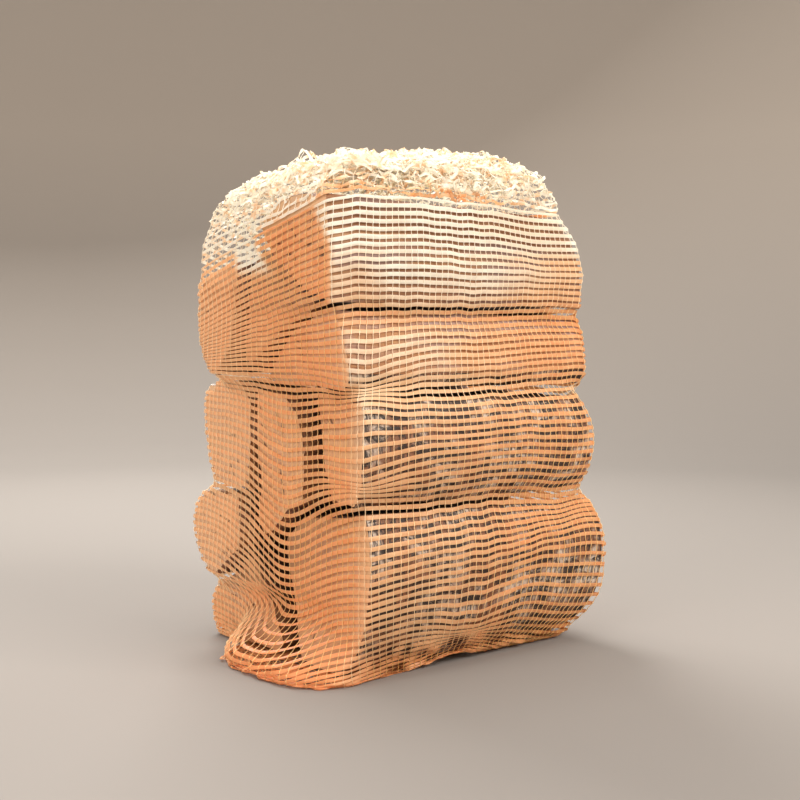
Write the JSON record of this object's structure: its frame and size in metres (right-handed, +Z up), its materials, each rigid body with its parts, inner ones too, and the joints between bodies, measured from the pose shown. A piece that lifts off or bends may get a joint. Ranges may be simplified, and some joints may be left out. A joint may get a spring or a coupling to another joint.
{
  "type": "firewood bundle",
  "caption": "Net bag of split birch firewood stacked in courses, the net drawn tight over the logs and crumpled on top; it stands on its flat base.",
  "frame": {"origin": "centre of the bundle's bounding box at its base, on the floor", "axes": "+Z up the stack, X along the logs with their sawn ends facing -X and +X, Y across the stack"},
  "size_m": [0.37, 0.301, 0.485],
  "materials": {
    "birch_wood": "rough split and sawn birch, with bark on the outer faces",
    "netting": "translucent orange polyolefin knitted netting"
  },
  "bodies": {
    "root": {"bottom_front_log": "birch_wood", "bottom_back_log": "birch_wood", "lower_back_log": "birch_wood", "standing_split": "birch_wood", "middle_front_log": "birch_wood", "middle_back_log": "birch_wood", "upper_front_log": "birch_wood", "upper_middle_log": "birch_wood", "upper_back_log": "birch_wood", "top_log": "birch_wood", "net_bag": "netting"}
  },
  "joints": []
}
